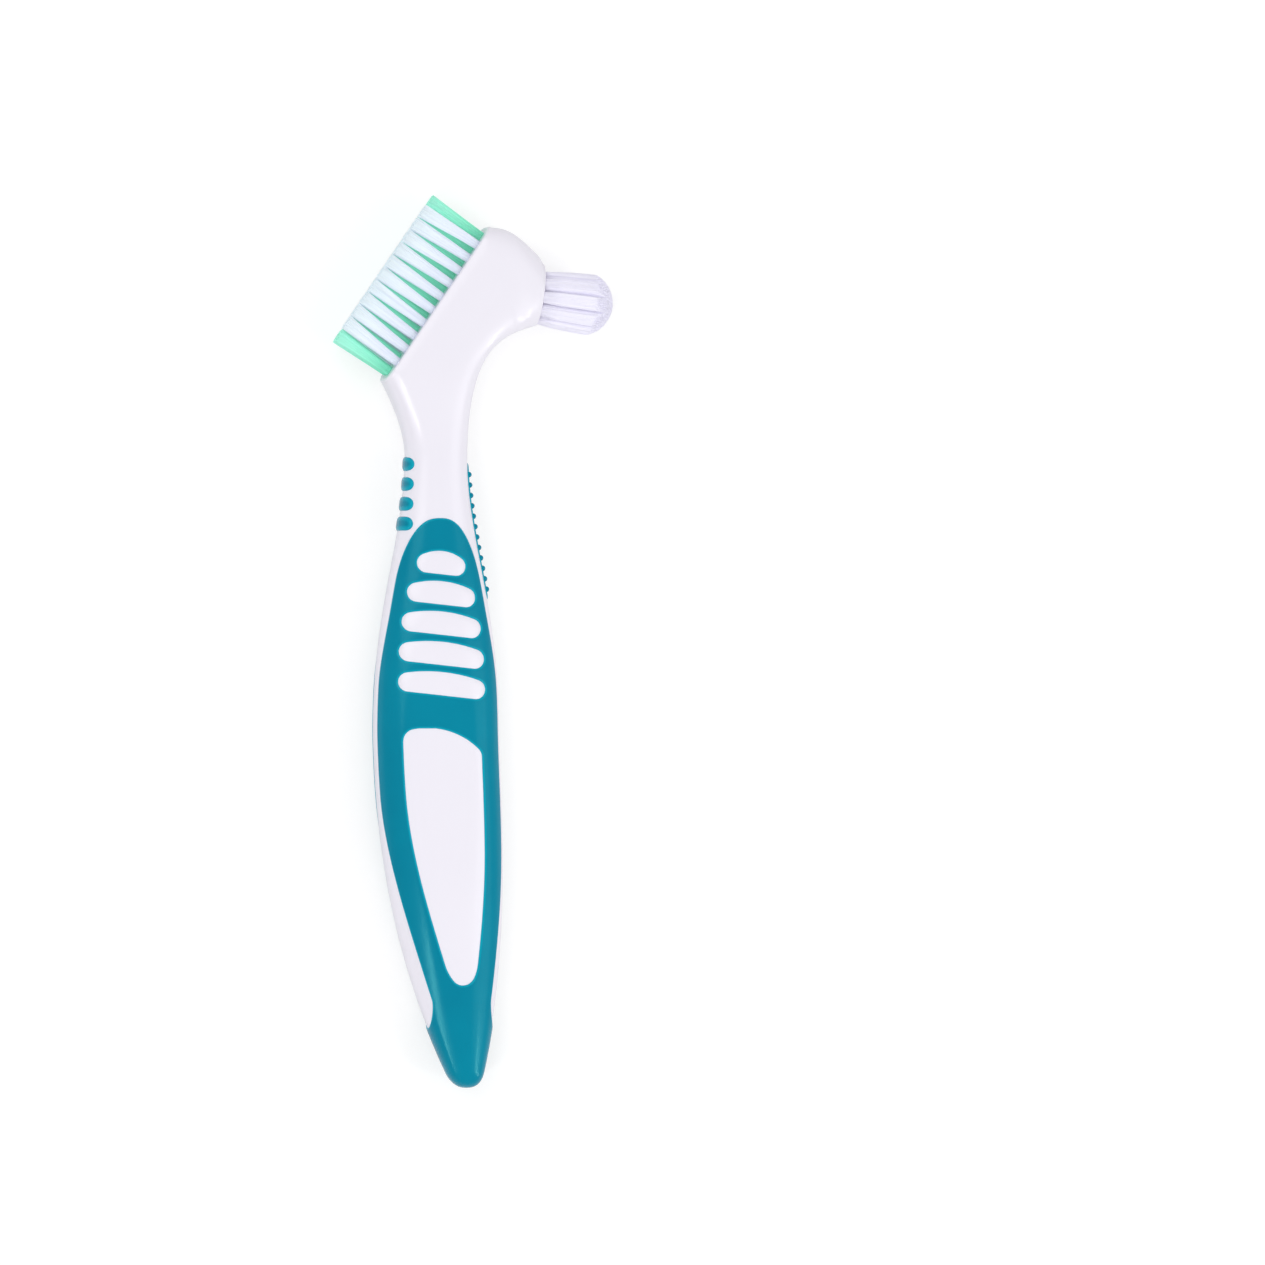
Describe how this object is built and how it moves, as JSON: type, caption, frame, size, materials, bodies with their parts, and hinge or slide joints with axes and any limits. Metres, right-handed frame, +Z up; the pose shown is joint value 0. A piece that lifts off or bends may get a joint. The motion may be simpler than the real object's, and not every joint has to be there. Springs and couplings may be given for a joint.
{
  "type": "denture brush",
  "caption": "Two-headed denture brush: contoured white handle with a soft teal grip, a wide flat-trimmed brush on the slanted head and a small domed brush opposite.",
  "frame": {"origin": "middle of the flat landing on the back of the handle, which the brush lies on", "axes": "+Y along the handle towards the head, +Z up out of the front face, +X towards the small brush"},
  "size_m": [0.0567, 0.1782, 0.014],
  "materials": {
    "handle_plastic": "glossy injection moulded white",
    "soft_grip": "soft satin teal overmoulding",
    "white_bristle": "translucent white filaments",
    "mint_bristle": "translucent mint green filaments",
    "anchor_metal": "bare wire"
  },
  "bodies": {
    "root": {"handle": "handle_plastic", "grip": "soft_grip", "finger_bar_1": "soft_grip", "finger_bar_2": "soft_grip", "finger_bar_3": "soft_grip", "finger_bar_4": "soft_grip", "thumb_pad": "soft_grip", "front_tuft_row": "white_bristle", "front_middle_tuft_row": "mint_bristle", "rear_middle_tuft_row": "mint_bristle", "rear_tuft_row": "white_bristle", "small_brush_ring": "white_bristle", "small_brush_core": "white_bristle", "main_brush_anchors": "anchor_metal", "small_brush_anchors": "anchor_metal"}
  },
  "joints": []
}
